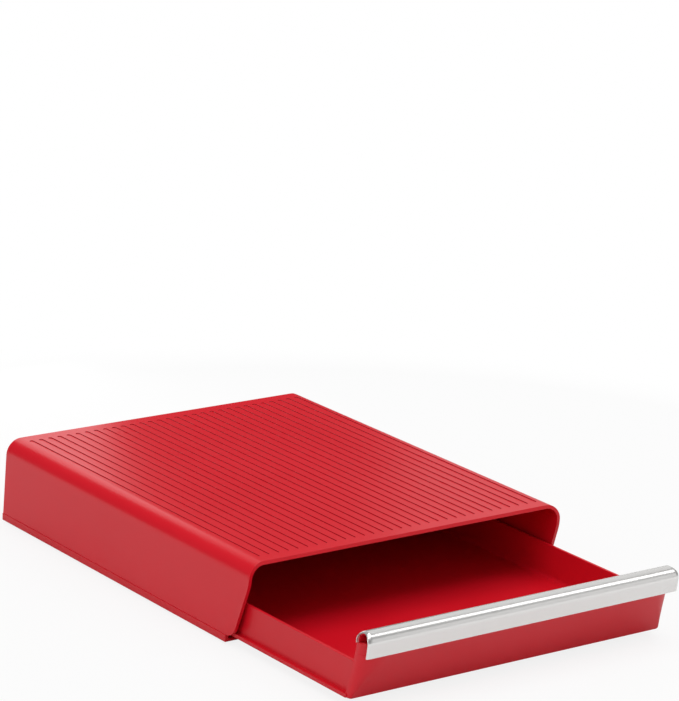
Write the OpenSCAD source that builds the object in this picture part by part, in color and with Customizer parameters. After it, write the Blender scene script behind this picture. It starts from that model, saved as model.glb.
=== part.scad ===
// Coffee pod drawer: a moulded cover on a base plate, and between them a pull-out tray that
// holds single-serve pods. A coffee machine stands on the ribbed deck.
// Lengths are in millimetres. X runs across, -Y is the front and Z is up. The origin lies on
// the table, under the middle of the box that the half-open drawer fills.
//
// Two working frames are used. In the case frame y = 0 is the back face of the cover. In the
// drawer frame y = 0 is the front line of the pod grid, which is the back of the handle strip.

/* [Pods] */
// Room that one pod takes in the grid: its rim and a little play
pod_pitch = 51.2; // [49:0.2:56]
// Pods side by side across the tray
pod_columns = 5; // [4:1:6]
// Rows of pods from front to back
pod_rows = 6; // [5:1:7]
// Height of one pod
pod_h = 44; // [42:1:50]

/* [Tray] */
// Thickness of the side and back walls
tray_wall = 2; // [1.6:0.1:2.6]
// Thickness of the front wall, which the front panel covers
tray_front_wall = 1.6; // [1.2:0.1:2]
// Thickness of the floor
tray_floor_t = 1.8; // [1.4:0.1:2.6]
// Height of the walls, from under the floor
tray_side_h = 26; // [18:0.5:28]
// How far the outer pod rims stand out past the side walls
rim_overhang = 0.5; // [0:0.1:1.5]
// How far the running flange stands out from the side wall
flange_w = 3; // [2:0.2:4]
// Thickness of the running flange
flange_t = 3; // [2:0.2:4]

/* [Front panel] */
// Lean of the front face, whose foot lies further back
front_slant = 25.5; // [18:0.5:27]
// Thickness of the front skin and the end cheeks
panel_skin = 2.2; // [1.6:0.1:2.8]
// Thickness of the hollow bead that carries the handle strip
bead_wall = 2; // [1.4:0.1:2.4]
// Radius of the upright front corners
panel_corner_r = 16; // [10:0.5:18]
// Radius of the two bottom corners of the face
panel_foot_r = 4; // [2:0.5:6]
// Radius of the bead's two upper corners, which the strip hides
bead_corner_r = 6; // [3:0.5:8]
// Lean of the cheeks' back edges
cheek_lean = 11.5; // [6:0.5:14]
// How far the cheeks stand out past the tray's side walls
cheek_proud = 1; // [0.4:0.1:1.4]
// Snap tabs that hold the panel on the tray
snap_count = 4; // [2:1:6]
// Width of one snap tab
snap_w = 12; // [8:1:20]
// Height of one snap tab
snap_h = 4; // [3:0.5:6]
// Room between the tray's front wall and the panel's lip over it
lip_room = 1.3; // [0.8:0.1:2]

/* [Handle strip] */
// Depth of the strip, front to back
strip_depth = 14.5; // [13:0.5:18]
// Height of the strip at the front
strip_h = 17; // [14:0.5:18]
// Height of the strip at the back
strip_back_h = 9; // [8:0.5:11]
// Thickness of the strip's wall
strip_t = 1.3; // [1:0.1:1.6]
// Lean of the strip's flat front
strip_lean = 8; // [4:0.5:12]
// How far each end of the strip stands out past the cheek
strip_proud = 0.8; // [0:0.1:1.2]
// Radius of the strip's two upper corners
strip_corner_r = 7; // [3:0.5:8]
// How far those corners would overshoot the strip's top, which leaves it a crisp end
strip_overshoot = 1.2; // [0.4:0.1:1.5]
// Height of the strip's top over the pod lids
handle_rise = 3; // [2:0.2:6]

/* [Cover] */
// Thickness of the deck, the sides and the back
cover_wall = 2.5; // [2:0.1:3.2]
// Outer radius of the deck's long edges
cover_r = 12; // [8:0.5:16]
// Lean of the sides, whose feet stand further out
side_splay = 2.6; // [1:0.2:4]
// Lean of the mouth's side edges, whose feet lie further back
mouth_slant = 19.3; // [12:0.1:24]
// Radius of the mouth's two foot corners
mouth_r = 11; // [6:1:14]
// Radius of the mouth's nose, where the side edges run up into the deck's front edge
nose_r = 32; // [20:1:40]
// Depth of the nose's foremost line under the deck's face
nose_drop = 9.6; // [6:0.2:14]
// Room between the handle strip and the deck
deck_gap = 5.2; // [4.2:0.2:10]
// How far the deck's front edge lies behind the closed handle strip
deck_setback = 2.9; // [2:0.1:6]
// Thickness of the stiffening ribs under the deck
rib_t = 1.6; // [1:0.1:2.4]
// Depth of the stiffening ribs under the deck
rib_h = 3; // [2:0.5:4]
// Stiffening ribs under the deck
rib_count = 5; // [3:2:7]
// Height of the ledges that keep the tray's flanges down
ledge_t = 1.5; // [1:0.1:2.5]

/* [Deck grooves] */
// Distance from one groove to the next
groove_pitch = 7.83; // [7:0.01:10]
// Width of a groove
groove_w = 3.2; // [2:0.2:4]
// Depth of a groove
groove_depth = 0.8; // [0.4:0.1:1.2]
// Plain band of deck in front of the grooves
groove_front_band = 9; // [5:0.5:24]
// Plain band of deck behind the grooves
groove_back_band = 10; // [6:0.5:24]

/* [Base plate] */
// Thickness of the base plate's floor
base_floor_t = 2; // [1.6:0.1:2.4]
// Height of the base plate's edge
base_edge_h = 5.3; // [4.9:0.1:6.5]
// How far the base plate stands out past the cover
base_proud = 0.4; // [0.2:0.1:1]
// Height of the two runners that carry the tray
runner_h = 4; // [3.2:0.1:4.4]
// Width of a runner under the tray's floor
runner_lap = 3; // [2:0.5:6]
// How far the runners start behind the base plate's front edge
runner_inset = 6; // [2:0.5:12]
// Width of the tongues that locate the cover
tongue_w = 0.9; // [0.7:0.1:1.1]
// Height of the tongues that locate the cover
tongue_h = 1.6; // [1:0.1:2.2]

/* [Base screws] */
// Screws through the base plate into the back of the cover
screw_count = 3; // [2:1:4]
// Distance of the outer screws from the side faces of the base plate
screw_inset = 44.5; // [25:0.5:60]
// Radius of the screw's shank
screw_r = 1.2; // [1:0.05:1.4]
// Length of the screw under its head
screw_l = 12; // [9:0.5:14]
// Radius of the screw's head
screw_head_r = 2.3; // [2:0.1:2.6]
// Thickness of the screw's head
screw_head_t = 1.3; // [1:0.1:1.6]
// Outer radius of the bosses in the cover
boss_r = 2.8; // [2.6:0.1:2.9]
// Height of the bosses in the cover
boss_h = 18; // [12:1:24]
// How far the bosses' backs lie inside the cover's back face
boss_inset = 0.2; // [0:0.1:0.6]

/* [Feet] */
// Radius of a rubber foot
foot_r = 6; // [4:0.5:8]
// Height of the feet below the base plate
foot_h = 1.5; // [1:0.1:4]
// Depth of a foot's seat in the base plate
foot_seat = 0.8; // [0.4:0.1:1]
// Distance of a foot's middle from the base plate's edges
foot_inset = 15; // [10:0.5:24]

/* [Travel] */
// How far the drawer stands open in the rest position
rest_opening = 114; // [60:1:120]
// Distance of the out-stops from the front of the base plate
stop_inset = 67; // [50:1:90]
// Width of the stops under the tray and on the base plate
stop_w = 24; // [12:1:40]
// Distance of the stops from the middle
stop_x = 80; // [50:1:90]
// Length of the stops along the travel
stop_l = 4; // [3:0.5:6]

/* [Clearances] */
// Running gap between sliding faces
slide_gap = 0.3; // [0.2:0.05:0.5]
// Gap between a flange and the cover's side
side_gap = 0.9; // [0.6:0.1:1.4]
// Gap between a flange and the ledge over it
ledge_gap = 0.5; // [0.3:0.1:0.8]
// Gap between a ledge and the tray's side wall
ledge_side_gap = 0.6; // [0.4:0.1:1]
// Gap between pieces that are fitted together
fit_gap = 0.1; // [0.05:0.05:0.2]

/* [Hidden] */
$fn = 64;
red = [0.80, 0.09, 0.13];
silver = [0.84, 0.84, 0.83];
steel = [0.55, 0.56, 0.58];
black_rubber = [0.08, 0.08, 0.09];
// A cut runs this far past the face that it opens
cut_over = 1;
// A fused piece runs this far into the one that carries it
weld = 0.8;
// Facets of the circles whose size calls for more or fewer than the rest
nose_fn = 240;
groove_fn = 24;

// Heights
base_floor_top = foot_h + base_floor_t;
runner_top = foot_h + runner_h;
seam_z = foot_h + base_edge_h;
tray_bottom = runner_top + slide_gap;
tray_floor_top = tray_bottom + tray_floor_t;
tray_top = tray_bottom + tray_side_h;
flange_top = tray_bottom + flange_t;
lid_z = tray_floor_top + pod_h;
strip_top = lid_z + handle_rise;
strip_foot = strip_top - strip_h;
strip_back_foot = strip_top - strip_back_h;
rebate_z = strip_back_foot - slide_gap;
lip_z = tray_top + lip_room;
deck_top = strip_top + deck_gap + cover_wall;
ledge_z = flange_top + ledge_gap;
stop_drop = runner_h - base_floor_t;

// Half widths
tray_half = pod_columns * pod_pitch / 2 - rim_overhang;
flange_half = tray_half + flange_w;
cover_in_half = flange_half + side_gap;
cover_half = cover_in_half + cover_wall / cos(side_splay);
base_half = cover_half + base_proud;
panel_half = tray_half + cheek_proud;
strip_half = panel_half + strip_proud;

// Cover section: middle of the round of a long edge
edge_z = deck_top - cover_r;
edge_x = cover_half - (edge_z - seam_z) * tan(side_splay) - cover_r / cos(side_splay);

// Lengths in the case frame
tray_l = pod_rows * pod_pitch + tray_wall;
boss_y = -(boss_r + boss_inset);
tray_back_closed = boss_y - boss_r - slide_gap;
drawer_closed = tray_back_closed - tray_l;
drawer_rest = drawer_closed - rest_opening;
deck_front = drawer_closed + deck_setback;
nose_y = deck_front + sqrt(nose_r ^ 2 - nose_drop ^ 2);
nose_z = deck_top - nose_drop;
base_front = mouth_y(seam_z) + mouth_r * tan(45 - mouth_slant / 2);

// The origin is in the middle of the whole length
whole_front = drawer_rest - strip_depth;
case_y = -(whole_front + base_proud) / 2;
drawer_y = case_y + drawer_rest;

// Handle strip section, in the drawer frame
arch_r = strip_depth / 2;
arch_z = strip_top - arch_r;
core_inset = strip_t + fit_gap;
face_top_y = leg_y(core_inset, strip_foot);

// Front wall of the tray behind the panel
nest_inset = panel_skin + fit_gap;
wall_front = nest_inset / cos(front_slant);
wall_back = (nest_inset + tray_front_wall) / cos(front_slant);

// Straight part of the mouth's side edge at height z, in the case frame
function mouth_y(z) = nose_y - nose_r / cos(mouth_slant) + (nose_z - z) * tan(mouth_slant);

// Front leg of the strip at height z, set back by an inset, in the drawer frame
function leg_y(inset, z) =
    -arch_r - (arch_r - inset) / cos(strip_lean) + (arch_z - z) * tan(strip_lean);

// Front face of the panel at height z, in the drawer frame
function face_y(z) = face_top_y + (strip_foot - z) * tan(front_slant);

// Back edge of the panel's cheeks at height z, in the drawer frame
function cheek_y(z) = (rebate_z - z) * tan(cheek_lean);

// Middles of count equal pieces spread over a span about x = 0
function spread(count, span) = [for (i = [0 : count - 1]) span * (i / (count - 1) - 0.5)];

// Extrudes a (y, z) outline across the part, from -half to half
module across(half) {
    translate([-half, 0, 0])
        rotate([90, 0, 90])
            linear_extrude(2 * half)
                children();
}

// Extrudes an (x, z) outline from y = back towards the front
module lengthwise(back, length) {
    translate([0, back, 0])
        rotate([90, 0, 0])
            linear_extrude(length)
                children();
}

// A block given by its two opposite corners
module block(low, high) {
    translate(low)
        cube(high - low);
}

// Draws its children on the right and mirrored on the left
module both_sides() {
    children();
    mirror([1, 0, 0])
        children();
}

// ---- Cover ----

// Section of the cover, filled, with its face moved in by an inset and cut off at z = low
module cover_outline(inset, low) {
    r = cover_r - inset;
    foot_x = cover_half - inset / cos(side_splay) + (seam_z - low) * tan(side_splay);
    side_x = edge_x + r * cos(side_splay);
    side_z = edge_z + r * sin(side_splay);
    polygon([
        [-foot_x, low], [foot_x, low],
        [side_x, side_z], [edge_x, edge_z + r],
        [-edge_x, edge_z + r], [-side_x, side_z]
    ]);
    for (x = [-edge_x, edge_x])
        translate([x, edge_z])
            circle(r);
}

// Side view of the cover: a round nose, a leaning edge and a round foot corner
module cover_side_view() {
    high = deck_top + cut_over;
    polygon([
        [0, seam_z], [0, high], [nose_y, high],
        [nose_y - nose_r * cos(mouth_slant), nose_z - nose_r * sin(mouth_slant)],
        [base_front - mouth_r * cos(mouth_slant), seam_z + mouth_r * (1 - sin(mouth_slant))],
        [base_front, seam_z + mouth_r], [base_front, seam_z]
    ]);
    translate([nose_y, nose_z])
        circle(nose_r, $fn = nose_fn);
    translate([base_front, seam_z + mouth_r])
        circle(mouth_r);
}

// Open arch of the cover with its leaning mouth
module cover_arch() {
    difference() {
        intersection() {
            lengthwise(0, nose_r - nose_y)
                cover_outline(0, seam_z);
            across(base_half)
                cover_side_view();
        }
        lengthwise(-cover_wall, nose_r - nose_y)
            cover_outline(cover_wall, seam_z - cut_over);
    }
}

// Grooves with round ends that run along the deck between its round edges
module deck_grooves() {
    each_side = floor((edge_x - groove_w / 2) / groove_pitch);
    first_y = deck_front + groove_front_band + groove_w / 2;
    last_y = -groove_back_band - groove_w / 2;
    translate([0, 0, deck_top - groove_depth])
        linear_extrude(groove_depth + cut_over)
            for (i = [-each_side : each_side])
                translate([i * groove_pitch, 0]) {
                    translate([-groove_w / 2, first_y])
                        square([groove_w, last_y - first_y]);
                    for (y = [first_y, last_y])
                        translate([0, y])
                            circle(groove_w / 2, $fn = groove_fn);
                }
}

// Stiffening ribs under the deck
module deck_ribs() {
    under = deck_top - cover_wall;
    rib_span = 2 * edge_x * (rib_count - 1) / (rib_count + 1);
    for (x = spread(rib_count, rib_span))
        block([x - rib_t / 2, deck_front + groove_front_band + cover_wall, under - rib_h],
              [x + rib_t / 2, -cover_wall / 2, under + weld]);
}

// Ledges inside the sides that keep the tray from tipping as it comes out
module flange_ledges() {
    wall_x = cover_in_half - (ledge_z + ledge_t - seam_z) * tan(side_splay);
    both_sides()
        block([tray_half + ledge_side_gap, base_front + mouth_r, ledge_z],
              [wall_x + weld, -cover_wall / 2, ledge_z + ledge_t]);
}

// Places its children at each base screw
module at_screws() {
    for (x = spread(screw_count, 2 * (base_half - screw_inset)))
        translate([x, boss_y, 0])
            children();
}

// Grooves under the sides that take the base plate's tongues, or the tongues themselves
module tongues(gap) {
    middle = (cover_in_half + cover_half) / 2;
    both_sides()
        block([middle - tongue_w / 2 - gap, base_front + cover_wall - gap, seam_z - weld],
              [middle + tongue_w / 2 + gap, -cover_wall + gap, seam_z + tongue_h + gap]);
}

module cover_shell() {
    color(red)
    translate([0, case_y, 0])
    difference() {
        union() {
            cover_arch();
            deck_ribs();
            flange_ledges();
            at_screws()
                translate([0, 0, seam_z])
                    cylinder(h = boss_h, r = boss_r);
        }
        deck_grooves();
        tongues(fit_gap);
        at_screws()
            translate([0, 0, seam_z - cut_over])
                cylinder(h = cut_over + screw_l, r = screw_r + fit_gap / 2);
    }
}

// ---- Base plate ----

// Places its children at the middle of one foot: side is -1 or 1, and so is end
module at_foot(side, end) {
    middle_y = base_front / 2 + base_proud / 2;
    reach_y = (base_proud - base_front) / 2 - foot_inset;
    translate([side * (base_half - foot_inset), middle_y + end * reach_y, 0])
        children();
}

// Floor with its raised edge on both sides and at the back
module base_tray() {
    difference() {
        block([-base_half, base_front, foot_h], [base_half, base_proud, seam_z]);
        block([-cover_in_half, base_front - cut_over, base_floor_top],
              [cover_in_half, -cover_wall, seam_z + cut_over]);
    }
}

// Stops that end the travel: seen from above at y = 0 to length stop_l
module stop_pair(low, high) {
    both_sides()
        block([stop_x - stop_w / 2, 0, low], [stop_x + stop_w / 2, stop_l, high]);
}

module base_plate() {
    color(red)
    translate([0, case_y, 0])
    difference() {
        union() {
            base_tray();
            both_sides()
                block([tray_half - runner_lap, base_front + runner_inset, base_floor_top - weld],
                      [cover_in_half + weld, -cover_wall + weld, runner_top]);
            tongues(0);
            at_screws()
                translate([0, 0, base_floor_top - weld])
                    cylinder(h = seam_z - base_floor_top + weld, r = boss_r);
            translate([0, base_front + stop_inset - stop_l, 0])
                stop_pair(base_floor_top - weld, runner_top);
        }
        at_screws() {
            translate([0, 0, foot_h - cut_over])
                cylinder(h = cut_over + screw_head_t, r = screw_head_r + 2 * fit_gap);
            translate([0, 0, foot_h])
                cylinder(h = base_edge_h + cut_over, r = screw_r + fit_gap);
        }
        for (side = [-1, 1])
            for (end = [-1, 1])
                at_foot(side, end)
                    translate([0, 0, foot_h - cut_over])
                        cylinder(h = cut_over + foot_seat, r = foot_r + fit_gap);
    }
}

module base_screws() {
    color(steel)
    translate([0, case_y, 0])
    at_screws()
        translate([0, 0, foot_h]) {
            cylinder(h = screw_head_t, r = screw_head_r);
            cylinder(h = screw_head_t + screw_l, r = screw_r);
        }
}

// ---- Feet ----

// Rubber disc stuck into its seat under the base plate
module foot(side, end) {
    color(black_rubber)
    translate([0, case_y, 0])
    at_foot(side, end)
        cylinder(h = foot_h + foot_seat, r = foot_r);
}

// ---- Drawer ----

// Upright block with round front corners, leaning as the cheeks do, moved in by an inset
module round_front(inset) {
    half = panel_half - inset;
    r = panel_corner_r - inset;
    corner_x = panel_half - panel_corner_r;
    depth = tray_l / 2;
    translate([0, 0, rebate_z])
        rotate([cheek_lean, 0, 0])
            translate([0, 0, -2 * strip_top])
                linear_extrude(3 * strip_top) {
                    translate([-half, 0])
                        square([2 * half, depth]);
                    translate([-corner_x, -r])
                        square([2 * corner_x, r + weld]);
                    for (x = [-corner_x, corner_x])
                        translate([x, 0])
                            circle(r);
                }
}

// Front wall of the tray, nested behind the panel, from the floor's underside up
module tray_nose() {
    intersection() {
        round_front(nest_inset);
        across(panel_half)
            polygon([
                [face_y(tray_bottom) + wall_front, tray_bottom],
                [face_y(tray_top) + wall_front, tray_top],
                [2 * panel_corner_r, tray_top],
                [2 * panel_corner_r, tray_bottom]
            ]);
    }
}

// Side view of the tray behind the cheeks
module tray_side_view() {
    polygon([
        [cheek_y(tray_bottom) + fit_gap, tray_bottom],
        [cheek_y(tray_top) + fit_gap, tray_top],
        [tray_l, tray_top], [tray_l, tray_bottom]
    ]);
}

// Room for the pods
module tray_hollow() {
    high = tray_top + cut_over;
    inner_half = tray_half - tray_wall;
    nose_end = cheek_y(tray_bottom) + 2 * tray_wall;
    intersection() {
        round_front(nest_inset + tray_front_wall);
        across(panel_half)
            polygon([
                [face_y(tray_floor_top) + wall_back, tray_floor_top],
                [face_y(high) + wall_back, high],
                [nose_end + cut_over, high], [nose_end + cut_over, tray_floor_top]
            ]);
    }
    block([-inner_half, nose_end, tray_floor_top], [inner_half, tray_l - tray_wall, high]);
}

// Places its children on the front face at each snap tab: y points inwards there
module at_snaps() {
    face_l = (strip_foot - tray_bottom) / cos(front_slant);
    span = 2 * (panel_half - 2 * panel_corner_r);
    for (x = spread(snap_count, span))
        translate([x, face_top_y, strip_foot])
            rotate([front_slant, 0, 0])
                translate([0, 0, -face_l / 2])
                    children();
}

module drawer_tray() {
    color(red)
    translate([0, drawer_y, 0])
    difference() {
        union() {
            tray_nose();
            across(tray_half)
                tray_side_view();
            block([-flange_half, cheek_y(tray_bottom) + slide_gap, tray_bottom],
                  [flange_half, tray_l, flange_top]);
            translate([0, tray_l - stop_l, 0])
                stop_pair(tray_bottom - stop_drop, tray_bottom + weld);
        }
        tray_hollow();
        at_snaps()
            block([-snap_w / 2 - slide_gap, 0, -snap_h / 2 - slide_gap],
                  [snap_w / 2 + slide_gap, 2 * nest_inset + tray_front_wall, snap_h / 2 + slide_gap]);
    }
}

// Outline of the handle strip, filled, with its face moved in by an inset, down to z = low
module strip_outline(inset, low) {
    r = arch_r - inset;
    translate([-arch_r, arch_z])
        circle(r);
    polygon([
        [-arch_r - r * cos(strip_lean), arch_z - r * sin(strip_lean)],
        [leg_y(inset, low), low],
        [-inset, low], [-inset, arch_z]
    ]);
}

// Side view of the front panel, filled
module panel_side_view() {
    strip_outline(core_inset, strip_foot);
    polygon([
        [face_y(tray_bottom), tray_bottom], [cheek_y(tray_bottom), tray_bottom],
        [0, rebate_z], [-arch_r, rebate_z], [face_y(strip_foot), strip_foot]
    ]);
}

// Side view of what is hollow behind the skin and inside the bead
module panel_hollow_view() {
    skin = panel_skin / cos(front_slant);
    inside = core_inset + bead_wall;
    low = tray_bottom - cut_over;
    strip_outline(inside, strip_foot);
    polygon([
        [face_y(strip_foot) + skin, strip_foot], [face_y(low) + skin, low],
        [2 * panel_corner_r, low], [2 * panel_corner_r, lip_z],
        [-inside, lip_z], [-inside, strip_foot]
    ]);
}

// Front view of a bar: from -half to half and low to high, with round foot and top corners
module bar_view(half, low, high, foot_r, top_r) {
    translate([-half, low + foot_r])
        square([2 * half, high - low - foot_r - top_r]);
    translate([foot_r - half, low])
        square([2 * (half - foot_r), foot_r + weld]);
    translate([top_r - half, high - top_r - weld])
        square([2 * (half - top_r), top_r + weld]);
    for (side = [-1, 1]) {
        translate([side * (half - foot_r), low + foot_r])
            circle(foot_r);
        translate([side * (half - top_r), high - top_r])
            circle(top_r);
    }
}

module front_panel() {
    color(red)
    translate([0, drawer_y, 0]) {
        difference() {
            intersection() {
                round_front(0);
                across(panel_half)
                    panel_side_view();
                lengthwise(panel_corner_r, 3 * panel_corner_r)
                    bar_view(panel_half, tray_bottom, strip_top, panel_foot_r, bead_corner_r);
            }
            intersection() {
                round_front(panel_skin);
                across(panel_half)
                    panel_hollow_view();
            }
        }
        at_snaps()
            block([-snap_w / 2, panel_skin / 2, -snap_h / 2],
                  [snap_w / 2, nest_inset + tray_front_wall, snap_h / 2]);
    }
}

module handle_strip() {
    // The ends' outline starts this far below the strip, so only its upper corners show
    ends_low = strip_foot - strip_h;
    color(silver)
    translate([0, drawer_y, 0])
    intersection() {
        across(strip_half)
            difference() {
                strip_outline(0, strip_foot);
                strip_outline(strip_t, strip_foot - cut_over);
                translate([-arch_r, strip_foot - cut_over])
                    square([2 * arch_r, strip_back_foot - strip_foot + cut_over]);
            }
        lengthwise(strip_depth, 3 * strip_depth)
            bar_view(strip_half, ends_low, strip_top + strip_overshoot, strip_t, strip_corner_r);
    }
}

cover_shell();
base_plate();
base_screws();
foot(-1, -1);  // front_left_foot
foot(1, -1);  // front_right_foot
foot(-1, 1);  // back_left_foot
foot(1, 1);  // back_right_foot
drawer_tray();
front_panel();
handle_strip();
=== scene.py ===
"""Coffee pod drawer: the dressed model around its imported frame.

A ribbed cover stands on a base plate, and a shallow tray with a slanted front and a silver
handle strip slides in and out between them. Lengths are in metres, in the frame's axes.
"""
import logging
import math
from abc import ABC, abstractmethod
from dataclasses import dataclass, replace
from enum import Enum
from functools import cache
from typing import Callable, Iterable

import bmesh
import bpy
from bmesh.types import BMEdge, BMesh, BMFace, BMVert
from mathutils import Matrix, Vector


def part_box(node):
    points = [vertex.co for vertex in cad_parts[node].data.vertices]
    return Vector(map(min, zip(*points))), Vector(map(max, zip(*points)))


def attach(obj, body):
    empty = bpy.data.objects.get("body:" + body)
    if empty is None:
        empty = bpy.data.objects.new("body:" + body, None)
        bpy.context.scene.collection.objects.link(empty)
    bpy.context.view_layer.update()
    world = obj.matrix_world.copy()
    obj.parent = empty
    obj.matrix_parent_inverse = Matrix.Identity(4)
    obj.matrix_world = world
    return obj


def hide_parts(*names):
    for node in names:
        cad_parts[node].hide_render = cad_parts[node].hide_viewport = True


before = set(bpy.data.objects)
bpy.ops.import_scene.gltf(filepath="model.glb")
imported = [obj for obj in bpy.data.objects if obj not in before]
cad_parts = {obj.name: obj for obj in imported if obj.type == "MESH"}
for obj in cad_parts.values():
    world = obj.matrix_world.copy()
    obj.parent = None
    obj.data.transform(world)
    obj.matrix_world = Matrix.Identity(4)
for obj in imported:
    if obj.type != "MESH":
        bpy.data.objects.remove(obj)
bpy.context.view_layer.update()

log = logging.getLogger("pod_drawer")

FOOT_NODES = ("front_left_foot", "front_right_foot", "back_left_foot", "back_right_foot")
SAME_PLACE = 1e-6
SIDES = (-1, 1)
ACROSS = Vector((1, 0, 0))
ALONG = Vector((0, 1, 0))
UP = Vector((0, 0, 1))


@cache
def box(node: str) -> tuple[Vector, Vector]:
    """Give the low and the high corner of a solid's box in the frame."""
    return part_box(node)


class Body(Enum):
    """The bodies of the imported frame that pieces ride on."""

    COVER = "cover"
    DRAWER = "drawer"


class Slot(Enum):
    """The record's material slots."""

    COVER = "red_cover"
    TRAY = "red_tray"
    STRIP = "silver_strip"
    SCREWS = "screw_steel"
    FEET = "foot_rubber"


# ---- Drawing with bmesh operators ----


def quarter(steps: int) -> list[float]:
    """List the angles of a quarter turn in equal steps, with both ends."""
    return [math.pi / 2 * step / steps for step in range(steps + 1)]


def spread(count: int, half: float) -> list[float]:
    """List equal steps from -half to half."""
    return [half * (2 * i / (count - 1) - 1) for i in range(count)]


class Pen:
    """Draws a chain of edges by extruding its last vertex."""

    def __init__(self, mesh: BMesh, start: Vector) -> None:
        """Put the pen down.

        Args:
            mesh: The mesh that is drawn in.
            start: Where the chain starts.
        """
        self.mesh = mesh
        self.verts: list[BMVert] = list(bmesh.ops.create_vert(mesh, co=start)["vert"])
        self.edges: list[BMEdge] = []

    @property
    def tip(self) -> Vector:
        """Where the chain ends."""
        return self.verts[-1].co.copy()

    def to(self, *points: Vector) -> "Pen":
        """Draw an edge to each point.

        Args:
            *points: Where the edges end, one after the other.

        Returns:
            The pen.
        """
        for point in points:
            grown = bmesh.ops.extrude_vert_indiv(self.mesh, verts=[self.verts[-1]])
            grown["verts"][0].co = point
            self.verts += grown["verts"]
            self.edges += grown["edges"]
        return self

    def line(self, end: Vector, steps: int) -> "Pen":
        """Draw a straight line in equal edges."""
        start = self.tip
        return self.to(*(start.lerp(end, step / steps) for step in range(1, steps + 1)))

    def bend(self, corner: Vector, end: Vector, steps: int, power: float = 2) -> "Pen":
        """Draw a quarter of a superellipse that touches the lines to and from a corner.

        Args:
            corner: Where the two lines would meet.
            end: Where the curve ends.
            steps: Number of edges.
            power: 2 for an ellipse, and more for a curve that leaves its lines more softly.

        Returns:
            The pen.
        """
        start = self.tip
        centre = start + end - corner
        for turn in quarter(steps)[1:-1]:
            out, along = math.cos(turn) ** (2 / power), math.sin(turn) ** (2 / power)
            self.to(centre + (start - centre) * out + (end - centre) * along)
        return self.to(end)

    def round_front(self, face: float, reach: float, steps: tuple[int, int],
                    power: float) -> "Pen":
        """Draw a front with two round corners, from the chain's end to its mirror image.

        Args:
            face: Where the front lies along Y.
            reach: How far each corner's round reaches along it.
            steps: Edges in a corner and in the flat between the corners.
            power: The power of the corners' superellipse.

        Returns:
            The pen.
        """
        start = self.tip
        near, far = Vector((start.x, face, start.z)), Vector((-start.x, face, start.z))
        inward = ACROSS * -math.copysign(reach, start.x)
        self.bend(near, near + inward, steps[0], power)
        self.line(far - inward, steps[1])
        return self.bend(far, Vector((-start.x, start.y, start.z)), steps[0], power)

    def arc(self, centre: Vector, axis: Vector, angle: float, steps: int) -> "Pen":
        """Draw an arc of a circle.

        Args:
            centre: The circle's centre.
            axis: The axis that the arc turns about.
            angle: The arc's angle in radians, right-handed about the axis.
            steps: Number of edges.

        Returns:
            The pen.
        """
        reach = self.tip - centre
        for step in range(1, steps + 1):
            self.to(centre + Matrix.Rotation(angle * step / steps, 3, axis) @ reach)
        return self

    def close(self) -> "Pen":
        """Join the chain's end to its start."""
        self.edges += bmesh.ops.contextual_create(
            self.mesh, geom=[self.verts[-1], self.verts[0]])["edges"]
        return self


def outline(mesh: BMesh, points: list[Vector]) -> Pen:
    """Draw a closed outline with straight edges."""
    return Pen(mesh, points[0]).to(*points[1:]).close()


def stadium(mesh: BMesh, x: float, ends: tuple[float, float], z: float, radius: float,
            steps: int) -> Pen:
    """Draw a slot's outline in a level plane, with its length along Y.

    Args:
        mesh: The mesh that is drawn in.
        x: The slot's middle line.
        ends: The centres of its two round ends along Y, front one first.
        z: Height of the plane.
        radius: Half of the slot's width.
        steps: Edges in each round end.

    Returns:
        The closed outline.
    """
    front, back = ends
    pen = Pen(mesh, Vector((x - radius, front, z)))
    pen.arc(Vector((x, front, z)), UP, math.pi, steps)
    pen.to(Vector((x + radius, back, z)))
    return pen.arc(Vector((x, back, z)), UP, math.pi, steps).close()


def disc(mesh: BMesh, centre: Vector, radius: float, steps: int) -> Pen:
    """Draw a circle in a level plane."""
    pen = Pen(mesh, centre + ACROSS * radius)
    return pen.arc(centre, UP, 2 * math.pi * (steps - 1) / steps, steps - 1).close()


def bridge(mesh: BMesh, edges: Iterable[BMEdge]) -> None:
    """Join two chains or two loops of edges with a strip of faces."""
    bmesh.ops.bridge_loops(mesh, edges=list(edges))


def cap(mesh: BMesh, edges: list[BMEdge]) -> None:
    """Fill a closed loop of edges with one face."""
    bmesh.ops.edgeloop_fill(mesh, edges=edges)


def wall_end(mesh: BMesh, edges: list[BMEdge]) -> None:
    """Fill a closed loop whose second half runs back along its first half."""
    run = len(edges) // 2 - 1
    bridge(mesh, edges[:run] + edges[run + 1:-1])


def loft(mesh: BMesh, rings: list[Pen], end: Callable[[BMesh, list[BMEdge]], None]) -> None:
    """Join each ring to the next one, edge by edge, and close both ends.

    Args:
        mesh: The mesh that holds them.
        rings: Closed outlines with the same number of edges.
        end: What fills the first and the last ring.
    """
    for ring, after in zip(rings, rings[1:]):
        for pair in zip(ring.edges, after.edges):
            bridge(mesh, pair)
    for ring in (rings[0], rings[-1]):
        end(mesh, ring.edges)


def block(mesh: BMesh, corner: Vector, opposite: Vector) -> list[BMVert]:
    """Add a closed block between two opposite corners."""
    place = Matrix.Translation((corner + opposite) / 2)
    return bmesh.ops.create_cube(
        mesh, size=1, matrix=place @ Matrix.Diagonal((*(opposite - corner), 1)))["verts"]


def turned(mesh: BMesh, profile: Pen, axis: Vector, steps: int) -> None:
    """Spin a profile once around an upright axis through a point."""
    bmesh.ops.spin(mesh, geom=profile.verts + profile.edges, cent=axis, axis=UP,
                   angle=2 * math.pi, steps=steps, use_merge=True)


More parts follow.
